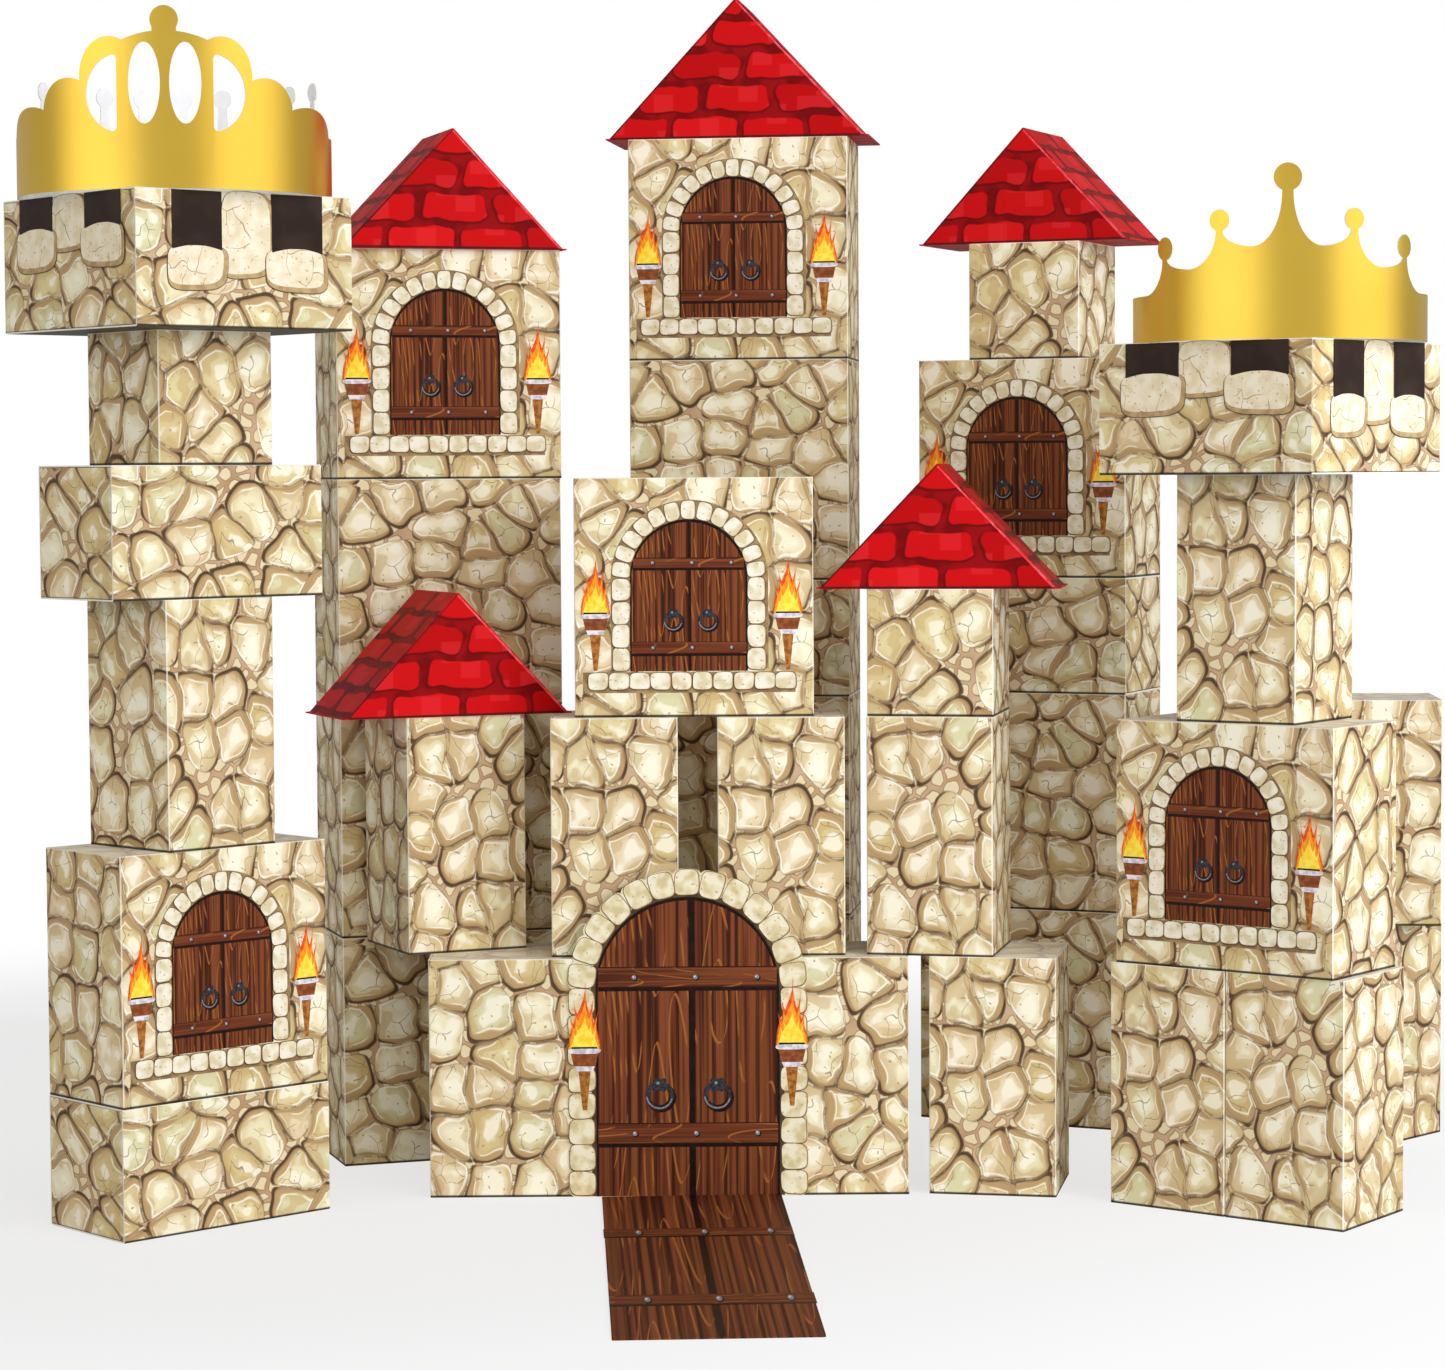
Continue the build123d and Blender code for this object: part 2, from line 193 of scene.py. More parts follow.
def stone_print(name, roughness, wear_and_highlight=0.0):
    """Printed field stones, turned paler along a fold by the given share: the worn pale core, and a painted
    highlight where the fold catches the light.

    All depths in it are in mm, and so are the places, which come from the layer that wrap writes.
    """
    material, tree, shader = new_material(name, roughness, 0.2)
    place = add(tree, "UVMap", uv_map="Print").outputs[0]
    away = add(tree, "VectorMath", place, TO_SHADE, operation="ADD")
    cells = add(tree, "Group", place, node_tree=field_cells)
    depth = cells.outputs[0]
    far_depth = add(tree, "Group", away, node_tree=field_cells).outputs[0]
    pick = add(tree, "SeparateColor", cells.outputs[1]).outputs[0]
    tone = stone_face(tree, place, pick, far_depth)
    # The flank turned from the printed light, darker outwards and here and there wider
    uneven_size = 17.0          # mm
    uneven = add(tree, "TexNoise", place, 1 / uneven_size, 0.0, 0.5, noise_dimensions="2D")
    thick = add(tree, "Math", uneven, 5.5, -1.2, operation="MULTIPLY_ADD")
    flank_depth = add(tree, "Math", far_depth, thick, operation="SUBTRACT")
    flank = add(tree, "MapRange", flank_depth, 0.3, -0.5)
    flank_way = add(tree, "Math", far_depth, 0.3, 0.9, operation="MULTIPLY_ADD")
    flank_tones = [(0.0, "#75573A"), (0.45, "#97774F"), (1.0, "#B99A6C")]
    flank_tone = add(tree, "ValToRGB", flank_way, stops=flank_tones)
    # A pale rim between the face and the flank, and along the lit sides
    rim_in = add(tree, "MapRange", flank_depth, 0.2, 0.6)
    rim_out = add(tree, "MapRange", flank_depth, 1.4, 0.9)
    rim = add(tree, "Math", rim_in, rim_out, operation="MULTIPLY")
    near_in = add(tree, "MapRange", depth, 1.6, 1.1)
    rim = add(tree, "Math", rim, near_in, operation="MAXIMUM")
    some = add(tree, "MapRange", uneven, 0.42, 0.54, 0.0, 0.7)
    rim = add(tree, "Math", rim, some, operation="MULTIPLY")
    tone = add(tree, "Mix", rim, tone, "#FFFAEA", data_type="RGBA")
    tone = add(tree, "Mix", flank, tone, flank_tone, data_type="RGBA")
    # Mortar with a few pebbles
    mortar = add(tree, "Mix", uneven, "#AE8A63", "#CFB290", data_type="RGBA")
    pebble_depth = add(tree, "Group", place, node_tree=pebble_cells).outputs[0]
    pebble_side = add(tree, "MapRange", pebble_depth, 0.9, 0.4)
    pebble = add(tree, "Mix", pebble_side, "#E2D0A8", "#94734E", data_type="RGBA")
    there = add(tree, "MapRange", pebble_depth, 0.0, 0.25)
    mortar = add(tree, "Mix", there, mortar, pebble, data_type="RGBA")
    stone = add(tree, "MapRange", depth, -0.2, 0.2)
    colour = add(tree, "Mix", stone, mortar, tone, data_type="RGBA")
    # The contour, darker and wider on the shadow side
    heavy = add(tree, "MapRange", far_depth, 1.6, -1.0, 0.3, 0.95)
    wide = add(tree, "MapRange", far_depth, 1.2, -1.4, 0.5, 1.45)
    from_border = add(tree, "Math", depth, operation="ABSOLUTE")
    reach = add(tree, "Math", from_border, wide, operation="DIVIDE")
    line = add(tree, "MapRange", reach, 1.0, 0.55)
    line = add(tree, "Math", line, heavy, operation="MULTIPLY")
    colour = add(tree, "Mix", line, colour, CONTOUR, data_type="RGBA")
    # Paler along a fold: the worn pale core, and a painted highlight where the fold catches the light
    if wear_and_highlight:
        colour = add(tree, "Mix", wear_and_highlight, colour, PALE_CORE_AND_HIGHLIGHT, data_type="RGBA")
    # Rubbed pale along the upper edge; along the lower one a near-black painted shade for the shadow in the
    # gap between stacked cartons, which draws the dark joints
    edges = add(tree, "UVMap", uv_map="Edges")
    from_top, from_foot, _ = add(tree, "SeparateXYZ", edges).outputs
    colour = tint(tree, colour, from_top, 0.8, 0.3, 0.55, PALE_CORE_AND_HIGHLIGHT)
    colour = tint(tree, colour, from_foot, 1.9, 1.2, 0.93, JOINT_SHADE)
    tree.links.new(colour.outputs[2], shader.inputs["Base Color"])
    return material


# Varnished box card: an even soft sheen over the print, duller where it is folded and paler there, partly the
# worn pale core and partly a painted highlight
stone_card = stone_print("printed_box_card", 0.5)
fold_wear_and_highlight_card = stone_print("printed_box_card_at_folds", 0.65, 0.6)
# The bare grey-white core of the card, fuzzy along a cut, with fibres drawn about 0.9 mm wide
raw_card, tree, shader = new_material("cut_edge_of_box_card", 0.85, 0.2, relief=0.4, grain=0.5)
fibres_per_metre = 1100.0
fibres = add(tree, "TexNoise", add(tree, "TexCoord").outputs["Object"], fibres_per_metre, 2.0, 0.5)
cut = add(tree, "ValToRGB", fibres, stops=[(0.3, "#DDD5C2"), (0.7, "#F6F2E8")])
tree.links.new(cut.outputs[0], shader.inputs["Base Color"])


def dress(node, *materials):
    """Gives a piece these materials and no others."""
    node.data.materials.clear()
    for material in materials:
        node.data.materials.append(material)


class Carton:
    """The place of a carton or roof: its middle, the way its front faces, and its sizes in metres."""

    cut_reach = 1.2 * MM        # the cut edge of the 1 mm card has its middle this near the outline

    def __init__(self, name):
        self.name = name
        self.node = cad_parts[name]
        mesh = self.node.data
        areas = {}
        for wall in mesh.polygons:
            if abs(wall.normal.z) < 0.1:
                way = (round(wall.normal.x, 2), round(wall.normal.y, 2))
                areas[way] = areas.get(way, 0) + wall.area
        # Of the sides that are about as large as the largest, the front faces the camera most
        large = 0.93 * max(areas.values())
        broad = [way for way, area in areas.items() if area > large]
        self.out = Vector(min(broad, key=lambda way: way[1]) + (0,)).normalized()
        self.across = Vector((-self.out.y, self.out.x, 0))
        points = [vertex.co for vertex in mesh.vertices]
        along = [point.dot(self.across) for point in points]
        deep = [point.dot(self.out) for point in points]
        self.width = max(along) - min(along)
        self.depth = max(deep) - min(deep)
        self.low = min(point.z for point in points)
        self.high = max(point.z for point in points)
        self.middle = self.across * (max(along) + min(along)) / 2 + self.out * (max(deep) + min(deep)) / 2

    def side(self, turns):
        """The foot of the middle of a side, its direction to the right and its width in mm."""
        spin = Matrix.Rotation(turns * pi / 2, 3, "Z")
        out, across = spin @ self.out, spin @ self.across
        reach, width = (self.depth, self.width) if turns % 2 == 0 else (self.width, self.depth)
        return self.middle + out * reach / 2 + Vector((0, 0, self.low)), across, width / MM

    def wrap(self, start, turns):
        """Lays the print in mm round the folds, given so many quarter turns, and marks the edges."""
        mesh = self.node.data
        edges = mesh.uv_layers.new(name="Edges")
        layer = mesh.uv_layers.new(name="Print")
        mesh.uv_layers.active = layer
        half_width, half_depth, half_height = self.width / 2, self.depth / 2, (self.high - self.low) / 2
        corner = half_width + half_depth
        for polygon in mesh.polygons:
            right, back, up = polygon.normal.dot(self.across), -polygon.normal.dot(self.out), polygon.normal.z
            spots = []
            for number in polygon.vertices:
                point = mesh.vertices[number].co - self.middle
                height = point.z - self.low - half_height
                spots.append((point.dot(self.across), -point.dot(self.out), height))
            mid_x, mid_y, mid_z = (sum(spot[axis] for spot in spots) / len(spots) for axis in range(3))
            if abs(up) > 0.75:
                flat = [(x + 3 * half_width, y + 5 * half_height) for x, y, z in spots]
                from_edge = min(half_width - abs(mid_x), half_depth - abs(mid_y))
            elif abs(back) >= abs(right):
                flat = [(x if back < 0 else 2 * corner - x, z) for x, y, z in spots]
                from_edge = min(half_width - abs(mid_x), half_height - abs(mid_z))
            else:
                flat = [(corner + y if right > 0 else -corner - y, z) for x, y, z in spots]
                from_edge = min(half_depth - abs(mid_y), half_height - abs(mid_z))
            for loop, (u, v) in zip(polygon.loop_indices, flat):
                for _ in range(turns):
                    u, v = -v, u
                layer.data[loop].uv = (start + u / MM, v / MM)
                height = mesh.vertices[mesh.loops[loop].vertex_index].co.z
                edges.data[loop].uv = ((self.high - height) / MM, (height - self.low) / MM)
            folded = sorted((abs(right), abs(back), abs(up)))[1] > 0.5
            polygon.material_index = 1 if folded else 2 if from_edge < self.cut_reach else 0


# Quarter turns clockwise of the print on a carton that was stood on another side or on its head
PRINT_TURNS = {
    1: ("left_back_base", "left_back_lower_wall", "left_back_upper_wall", "tall_tower_base",
        "tall_tower_lower_wall", "tall_tower_upper_wall", "right_back_base", "right_back_wall",
        "tall_tower_beam", "right_back_beam", "right_front_battlement"),
    2: ("front_wall_left", "front_wall_right", "left_turret_post", "right_turret_post",
        "right_front_base_right", "outer_wall_lower"),
    3: ("left_front_base", "left_front_ledge", "left_front_battlement"),
}
# Each shape of carton has its own stretch of the print, told by its width and twice its height
KIND_STEP, PRINT_LENGTH = 40, 900.0     # mm
cartons = {}
for name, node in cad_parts.items():
    if name.endswith(("_crown", "_roof")) or name in ("gate", "drawbridge"):
        continue
    carton = Carton(name)
    cartons[name] = carton
    dress(node, stone_card, fold_wear_and_highlight_card, raw_card)
    height = carton.high - carton.low
    kind = round((carton.width + 2 * height) / MM / KIND_STEP)
    turns = next((turns for turns, names in PRINT_TURNS.items() if name in names), 0)
    carton.wrap(PRINT_LENGTH * kind, turns)


# Door blocks
# The same carton with an arched double door printed on its broad faces: a rim and a sill of
# dressed stones, dark planks with two rails and ring handles, and a torch at each side.

INK = 0.03 * MM         # one printed layer, drawn thick enough to lie clear of the next


class Print:
    """Flat printed shapes on one face, each layer laid over the ones before it."""

    def __init__(self, name, foot, across, up):
        self.name, self.foot, self.across, self.up = name, foot, across, up
        self.out = across.cross(up)
        self.shapes = bmesh.new()
        self.uv = self.shapes.loops.layers.uv.new("Print")
        self.inks = []

    def lay(self, outline, ink, layer):
        """One closed shape from its outline in mm, anticlockwise as it is seen."""
        if ink not in self.inks:
            self.inks.append(ink)
        rings = []
        for height in (0, layer * INK):
            lift = self.out * height
            ring = [self.foot + self.across * x * MM + self.up * y * MM + lift for x, y in outline]
            rings.append([self.shapes.verts.new(point) for point in ring])
        low, high = rings
        faces = [self.shapes.faces.new(high), self.shapes.faces.new(low[::-1])]
        count = len(outline)
        for number in range(count):
            after = (number + 1) % count
            faces.append(self.shapes.faces.new((low[number], low[after], high[after], high[number])))
        for face in faces:
            face.material_index = self.inks.index(ink)
            for loop in face.loops:
                point = loop.vert.co - self.foot
                loop[self.uv].uv = (point.dot(self.across) / MM, point.dot(self.up) / MM)

    def done(self):
        """Makes one piece of all the shapes, with the given slot."""
        mesh = bpy.data.meshes.new(self.name)
        self.shapes.to_mesh(mesh)
        self.shapes.free()
        for ink in self.inks:
            mesh.materials.append(ink)
        piece = bpy.data.objects.new(self.name, mesh)
        scene.collection.objects.link(piece)
        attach(piece, "root")


def printed_ink(name, first, second, spread, roughness=0.5):
    """Varnished ink in two near tones that drift over the given mm."""
    material, tree, shader = new_material(name, roughness, 0.2)
    place = add(tree, "UVMap", uv_map="Print")
    drift = add(tree, "TexNoise", place, 1 / spread, 2.0, 0.5, noise_dimensions="2D")
    tone = add(tree, "ValToRGB", drift, stops=[(0.38, first), (0.62, second)])
    tree.links.new(tone.outputs[0], shader.inputs["Base Color"])
    return material


def wood_print(name, grain_way, scale, stretch, tones):
    """Printed planks: narrow stripes along the grain and thin orange lines that close in long loops."""
    material, tree, shader = new_material(name, 0.6, 0.1, relief=0.2)
    place = add(tree, "UVMap", uv_map="Print").outputs[0]
    # In mm, with the grain running along the second axis
    if grain_way == "across":
        turned = add(tree, "VectorRotate", place, rotation_type="Z_AXIS")
        turned.inputs["Angle"].default_value = pi / 2
        place = turned.outputs[0]
    grain = add(tree, "VectorMath", place, (1 / scale, 1 / (scale * stretch), 0), operation="MULTIPLY")

    def figure(spot, width, length, detail):
        """Noise in patches of the given mm across and along the grain."""
        patch = add(tree, "VectorMath", spot, (1 / width, 1 / length, 0), operation="MULTIPLY")
        return add(tree, "TexNoise", patch, 1.0, detail, 0.5, noise_dimensions="2D")

    stripes = figure(grain, 2.9, 240.0, 1.5)
    boards = figure(grain, 15.0, 190.0, 0.0)
    board_share = 0.13
    fine = add(tree, "Math", stripes, 1 - board_share, operation="MULTIPLY")
    both = add(tree, "Math", boards, board_share, fine, operation="MULTIPLY_ADD")
    tone = add(tree, "ValToRGB", both, stops=list(zip((0.38, 0.47, 0.54, 0.63), tones)))
    _, second, _ = add(tree, "SeparateXYZ", stripes.outputs[1]).outputs
    tone = tint(tree, tone, second, 0.54, 0.64, 0.6, "#7F4A22")
    # The loops are 12 to 20 mm wide and up to 90 mm long on the gate; a line is drawn where a level
    # of the noise is crossed within one stroke of the pen
    pen_stroke, level_count = (1.1, 1.8, 0), 7.0
    levels = []
    for stroke in ((0, 0, 0), pen_stroke):
        moved = add(tree, "VectorMath", grain, stroke, operation="ADD")
        contours = add(tree, "Math", figure(moved, 25.0, 170.0, 0.0), level_count, operation="MULTIPLY")
        levels.append(add(tree, "Math", contours, operation="FLOOR"))
    step = add(tree, "Math", *levels, operation="SUBTRACT")
    line = add(tree, "Math", step, operation="ABSOLUTE")
    broken_size = 26.0          # mm
    broken = add(tree, "TexNoise", grain, 1 / broken_size, 0.0, 0.5, noise_dimensions="2D")
    kept = add(tree, "MapRange", broken, 0.38, 0.52, 0.0, 0.85)
    amount = add(tree, "Math", line, kept, operation="MULTIPLY")
    colour = add(tree, "Mix", amount, tone, "#A2622F", data_type="RGBA")
    tree.links.new(colour.outputs[2], shader.inputs["Base Color"])
    return material


def cut_stone_print(name, wash, cracked=0.0):
    """The dressed stones of a rim or sill: pale, with soft washes, chips and cracks that strong."""
    material, tree, shader = new_material(name, 0.5, 0.2)
    place = add(tree, "UVMap", uv_map="Print").outputs[0]
    wash_size, chip_size = 9.0, 2.6         # mm
    patches = add(tree, "TexNoise", place, 1 / wash_size, 1.0, 0.5, noise_dimensions="2D")
    tone = add(tree, "ValToRGB", patches, stops=wash)
    chips = add(tree, "TexNoise", place, 1 / chip_size, 1.0, 0.5, noise_dimensions="2D")
    tone = tint(tree, tone, chips, 0.72, 0.74, 0.7, "#B0965F")
    colour = add_cracks(tree, tone, place, 0.47, 0.53, cracked)
    tree.links.new(colour.outputs[2], shader.inputs["Base Color"])
    return material


PLANK_TONES = ("#3C1D11", "#572B1A", "#6A3420", "#7F4429")
small_planks = wood_print("printed_planks_of_door_blocks", "up", 0.64, 1.0, PLANK_TONES)
rail_wood = wood_print("printed_rails", "across", 0.7, 1.0, ("#4A2416", "#5E2E1B", "#6B3520", "#7C4228"))
halo_ink = printed_ink("soft_brown_shade_ink", "#84694A", "#A48A5E", 7.0)
shadow_ink = printed_ink("dark_shadow_ink", "#140604", "#210D08", 6.0)
contour_ink = printed_ink("brown_contour_ink", "#4A3524", "#5E4630", 7.0)
flank_ink = printed_ink("tan_flank_ink", "#A98B60", "#BFA274", 6.0)
pale_rim_stone = cut_stone_print(
    "printed_rim_stones_of_door_blocks", [(0.32, "#DACCA6"), (0.45, "#E6DCC0"), (0.62, "#F1EAD6")])
iron_ink = printed_ink("printed_iron", "#232328", "#3A3A42", 2.0, 0.4)
steel_ink = printed_ink("printed_highlights_on_iron", "#B9BBC2", "#E2E4E8", 1.0, 0.4)
rivet_ink = printed_ink("printed_rivets", "#6E6E76", "#8E8E96", 1.0, 0.4)
rim_ink = printed_ink("pale_torch_rim_ink", "#BDB6C4", "#E9E5EC", 4.0)
cup_ink = printed_ink("brown_torch_cup_ink", "#7A3E1A", "#96542A", 4.0)
stick_ink = printed_ink("tan_torch_stick_ink", "#8A4E1E", "#B8782F", 3.0)
flame_inks = [
    printed_ink("red_flame_ink", "#DE3F1B", "#EE6A1E", 4.0),
    printed_ink("orange_flame_ink", "#F58A1C", "#F9A524", 4.0),
    printed_ink("yellow_flame_ink", "#FFD02B", "#FFE756", 4.0),
]
# The tongues of a flame: how far aside, how wide, how high and how bent, for a torch of width 1
TONGUES = ((-0.37, 0.34, 1.2, -0.3), (0.37, 0.34, 1.4, 0.3), (-0.24, 0.54, 1.65, -0.2),
           (0.22, 0.54, 1.8, 0.16), (0.0, 1.1, 2.2, 0.05))
ARCH_STONES = 13


def disc(x, y, radius, points=20):
    angles = [2 * pi * n / points for n in range(points)]
    return [(x + radius * cos(angle), y + radius * sin(angle)) for angle in angles]


def block(x, y, width, height):
    """A plain rectangle from its middle and sizes."""
    return [(x + sx * width / 2, y + sy * height / 2) for sx, sy in ((-1, -1), (1, -1), (1, 1), (-1, 1))]


def taper(x, low, low_half, high, high_half):
    """An upright shape with a level foot and top of the given half widths."""
    return [(x - low_half, low), (x + low_half, low), (x + high_half, high), (x - high_half, high)]


def cobble(x, y, width, height, spin, shrink, chance):
    """A dressed stone with round corners and slightly uneven sides."""
    outline = []
    for number in range(24):
        angle = 2 * pi * number / 24
        c, s = cos(angle), sin(angle)
        wobble = 1 + 0.035 * sin(2 * angle + chance) + 0.025 * sin(3 * angle + 2 * chance)
        aside = (width / 2 - shrink) * abs(c) ** 0.5 * (1 if c > 0 else -1) * wobble
        up = (height / 2 - shrink) * abs(s) ** 0.5 * (1 if s > 0 else -1) * wobble
        outline.append((x + aside * cos(spin) - up * sin(spin), y + aside * sin(spin) + up * cos(spin)))
    return outline


def cut_stone(sheet, x, y, width, height, spin, chance, layer, face, flank=0.35):
    """A dressed stone in three inks, its face moved up to the left and smaller, for a flank in mm."""
    contour = 0.4
    left, up = 0.6 * flank, 0.7 * flank
    sheet.lay(cobble(x, y, width, height, spin, 0.0, chance), contour_ink, layer)
    sheet.lay(cobble(x + 0.1, y + 0.1, width, height, spin, contour, chance), flank_ink, layer + 1)
    sheet.lay(cobble(x - left, y + up, width, height, spin, contour + up, chance), face, layer + 2)


def stone_rim(sheet, x, foot, spring, radius, thick, legs, chances, face, trim=0.0):
    """Dressed stones round a door: an arch, and so many stones in each leg, the lowest trimmed."""
    arch_chance, leg_chance = chances
    for place in range(ARCH_STONES):
        angle = pi * (place + 0.5) / ARCH_STONES
        cut_stone(sheet, x + radius * cos(angle), spring + radius * sin(angle), thick,
                  0.98 * pi * radius / ARCH_STONES, angle, arch_chance * place, 1 + 3 * (place % 2), face)
    pitch = (spring - foot) / legs
    for side in (-1, 1):
        for place in range(legs):
            shorter = trim if place == 0 else 0.0
            cut_stone(sheet, x + side * radius, foot + pitch * (place + 0.5) + 0.4 * shorter, thick,
                      1.02 * pitch - shorter, 0, place + leg_chance * side, 7 + 3 * (place % 2), face)


def tongue(x, y, width, height, bend):
    """One tongue of flame: full low down, drawn out in a slow S to a thin tip."""
    left, right = [], []
    for number in range(17):
        rise = number / 16
        half = width / 2 * (1 - rise) ** 2.7 * (0.8 + 3.9 * rise)
        middle = x - bend * width * rise * sin(1.5 * pi * rise)
        right.append((middle + half, y + height * rise))
        left.append((middle - half, y + height * rise))
    return right[:-1] + left[::-1]


def torch(sheet, x, cup_y, size, layer):
    """A torch with its cup's rim at cup_y; size is the width of that rim in mm."""
    stick = taper(x, cup_y - 2.0 * size, 0.07 * size, cup_y - 0.7 * size, 0.2 * size)
    collar = taper(x, cup_y - 0.72 * size, 0.27 * size, cup_y - 0.5 * size, 0.36 * size)
    cup = taper(x, cup_y - 0.56 * size, 0.35 * size, cup_y - 0.08 * size, 0.46 * size)
    sheet.lay(stick, stick_ink, layer)
    sheet.lay(collar, rim_ink, layer + 1)
    sheet.lay(cup, cup_ink, layer + 2)
    above = layer + 3
    flame_foot = cup_y - 0.02 * size
    for ink, share in zip(flame_inks, (1.0, 0.82, 0.56)):
        for aside, width, height, bend in TONGUES:
            middle = x + aside * size * (0.7 + 0.3 * share)
            flame = tongue(middle, flame_foot, width * size * share ** 0.4, height * size * share, bend)
            sheet.lay(flame, ink, above)
            above += 1
    sheet.lay(block(x, cup_y + 0.04 * size, 0.84 * size, 0.08 * size), shadow_ink, above)
    sheet.lay(cobble(x, cup_y - 0.06 * size, 1.06 * size, 0.17 * size, 0, 0, 0), rim_ink, above + 1)


def ring_handle(sheet, x, y, radius, wood, layer):
    """An iron ring with a glint on it, hung from a boss with four small lobes."""
    sheet.lay(disc(x + 0.12 * radius, y - 0.14 * radius, 1.04 * radius), shadow_ink, layer)
    sheet.lay(disc(x, y, radius), iron_ink, layer + 1)
    glint = []
    for share, degrees in ((0.94, range(185, 346, 16)), (0.84, range(345, 184, -16))):
        for angle in (radians(n) for n in degrees):
            glint.append((x + share * radius * cos(angle), y + share * radius * sin(angle)))
    sheet.lay(glint, rivet_ink, layer + 2)
    sheet.lay(disc(x + 0.05 * radius, y - 0.06 * radius, 0.72 * radius), shadow_ink, layer + 3)
    sheet.lay(disc(x, y, 0.67 * radius), wood, layer + 4)
    boss, boss_y = 0.42 * radius, y + 0.74 * radius
    for place in range(4):
        angle = radians(45 + 90 * place)
        lobe = disc(x + boss * cos(angle), boss_y + boss * sin(angle), 0.19 * radius, 8)
        sheet.lay(lobe, iron_ink, layer + 5 + place)
    sheet.lay(disc(x, boss_y, boss, 14), iron_ink, layer + 9)
    sheet.lay(disc(x - 0.1 * radius, y + 0.88 * radius, 0.12 * radius, 8), rivet_ink, layer + 10)


def arched(x, foot, half, spring):
    """A door's outline: straight sides with a round head."""
    head = [(x + half * cos(pi * n / 28), spring + half * sin(pi * n / 28)) for n in range(29)]
    return [(x - half, foot), (x + half, foot)] + head


def rail(sheet, x, reach, low, high, rivets, rivet, layer, tall=1.0):
    """A cross rail with a dark line under it and three steel rivets, drawn so many times as tall."""
    middle = (low + high) / 2
    shade = 0.9 + 0.14 * (high - low)
    sheet.lay(block(x, low - shade / 2 + 0.2, 2 * reach, shade + 0.4), shadow_ink, layer)
    sheet.lay(block(x, high, 2 * reach, 0.1 * (high - low)), shadow_ink, layer)
    sheet.lay(block(x, middle, 2 * reach, high - low), rail_wood, layer + 1)
    for place in rivets:
        for dx, dy, radius, ink, above in ((0.3, -0.3, 1.3, shadow_ink, 2), (0, 0, 1, rivet_ink, 3),
                                           (-0.25, 0.3, 0.4, steel_ink, 4)):
            rim = disc(place + dx * rivet, dy * rivet, radius * rivet, 12)
            sheet.lay([(across, middle + tall * up) for across, up in rim], ink, layer + above)


def double_door(sheet, x, foot, half, spring, wood, seam, seam_width, rails, rings, ring, layer):
    """Two leaves of planks under a round head, two rails with rivets, and two ring handles."""
    reveal = 0.012 * half       # the dark line that is left at each side of the planks
    sheet.lay(arched(x, foot, half, spring), shadow_ink, layer)
    sheet.lay(arched(x - 0.2, foot, half - reveal - 0.7, spring - 0.8), wood, layer + 1)
    top = spring + half - 0.03 * half
    sheet.lay(block(seam, (foot + top) / 2, seam_width, top - foot), shadow_ink, layer + 2)
    for low, high in rails:
        rise = max(0.0, (low + high) / 2 - spring)
        reach = (half * half - rise * rise) ** 0.5 - reveal - 0.4
        rivets = [seam + half * (0.04 + 0.67 * place) for place in (-1, 0, 1)]
        rail(sheet, x, reach, low, high, rivets, 0.35 + 0.02 * half, layer + 3)
    for across, height in rings:
        ring_handle(sheet, across, height, ring, wood, layer + 8)


def print_door_block(carton, turns, number):
    """One printed door, drawn in shares of the block's width."""
    foot, across, width = carton.side(turns)
    sheet = Print(f"{carton.name}_print_{number}", foot, across, Vector((0, 0, 1)))
    x = -0.021 * width
    half = 0.2455 * width
    low, top = 0.192 * width, 0.827 * width
    spring = top - half
    stone = 0.08 * width
    centre = half + 0.038 * width
    halo = centre + stone / 2 + 0.9
    sheet.lay(arched(x + 0.5, low + 1.5, halo, spring - 0.4), halo_ink, 0.5)
    sheet.lay(block(x, 0.145 * width, 0.89 * width, 0.087 * width), halo_ink, 0.6)
    stone_rim(sheet, x, low, spring, centre, stone, 4, (1.3, 2.0), pale_rim_stone)
    sill_left, sill_pitch = -0.445, 0.0872
    for place in range(10):
        cut_stone(sheet, width * (sill_left + sill_pitch * (place + 0.5)), 0.15 * width, 0.089 * width,
                  0.078 * width, 0, 0.9 * place, 13 + 3 * (place % 2), pale_rim_stone)
    double_door(sheet, x, low, half, spring, small_planks, seam=-0.017 * width, seam_width=2.0,
                rails=((0.267 * width, 0.313 * width), (0.625 * width, 0.665 * width)),
                rings=((-0.087 * width, 0.402 * width), (0.058 * width, 0.402 * width)),
                ring=0.041 * width, layer=7)
    for aside in (-0.412, 0.393):
        torch(sheet, width * aside, cup_y=0.43 * width, size=0.117 * width, layer=2)
    sheet.done()


for name, carton in cartons.items():
    if name.endswith("_door"):
        for number, turns in enumerate((0, 2)):
            print_door_block(carton, turns, number)


# Gate
# A die-cut sheet of card stood against the front wall. Its outer edge follows the printed rim of
# dressed stones, and the same double door is printed inside the rim, larger.

planks = wood_print("printed_planks", "up", 1.0, 1.0, PLANK_TONES)
rim_stone = cut_stone_print("printed_rim_stones", [(0.32, "#CFBE90"), (0.45, "#DED0A8"), (0.62, "#EBE2C4")])


def print_uv(node, across, up, foot):
    """Lays the print in mm over a flat sheet."""
    layer = node.data.uv_layers.new(name="Print")
    node.data.uv_layers.active = layer
    for loop in node.data.loops:
        point = node.data.vertices[loop.vertex_index].co - foot
        layer.data[loop.index].uv = (point.dot(across) / MM, point.dot(up) / MM)


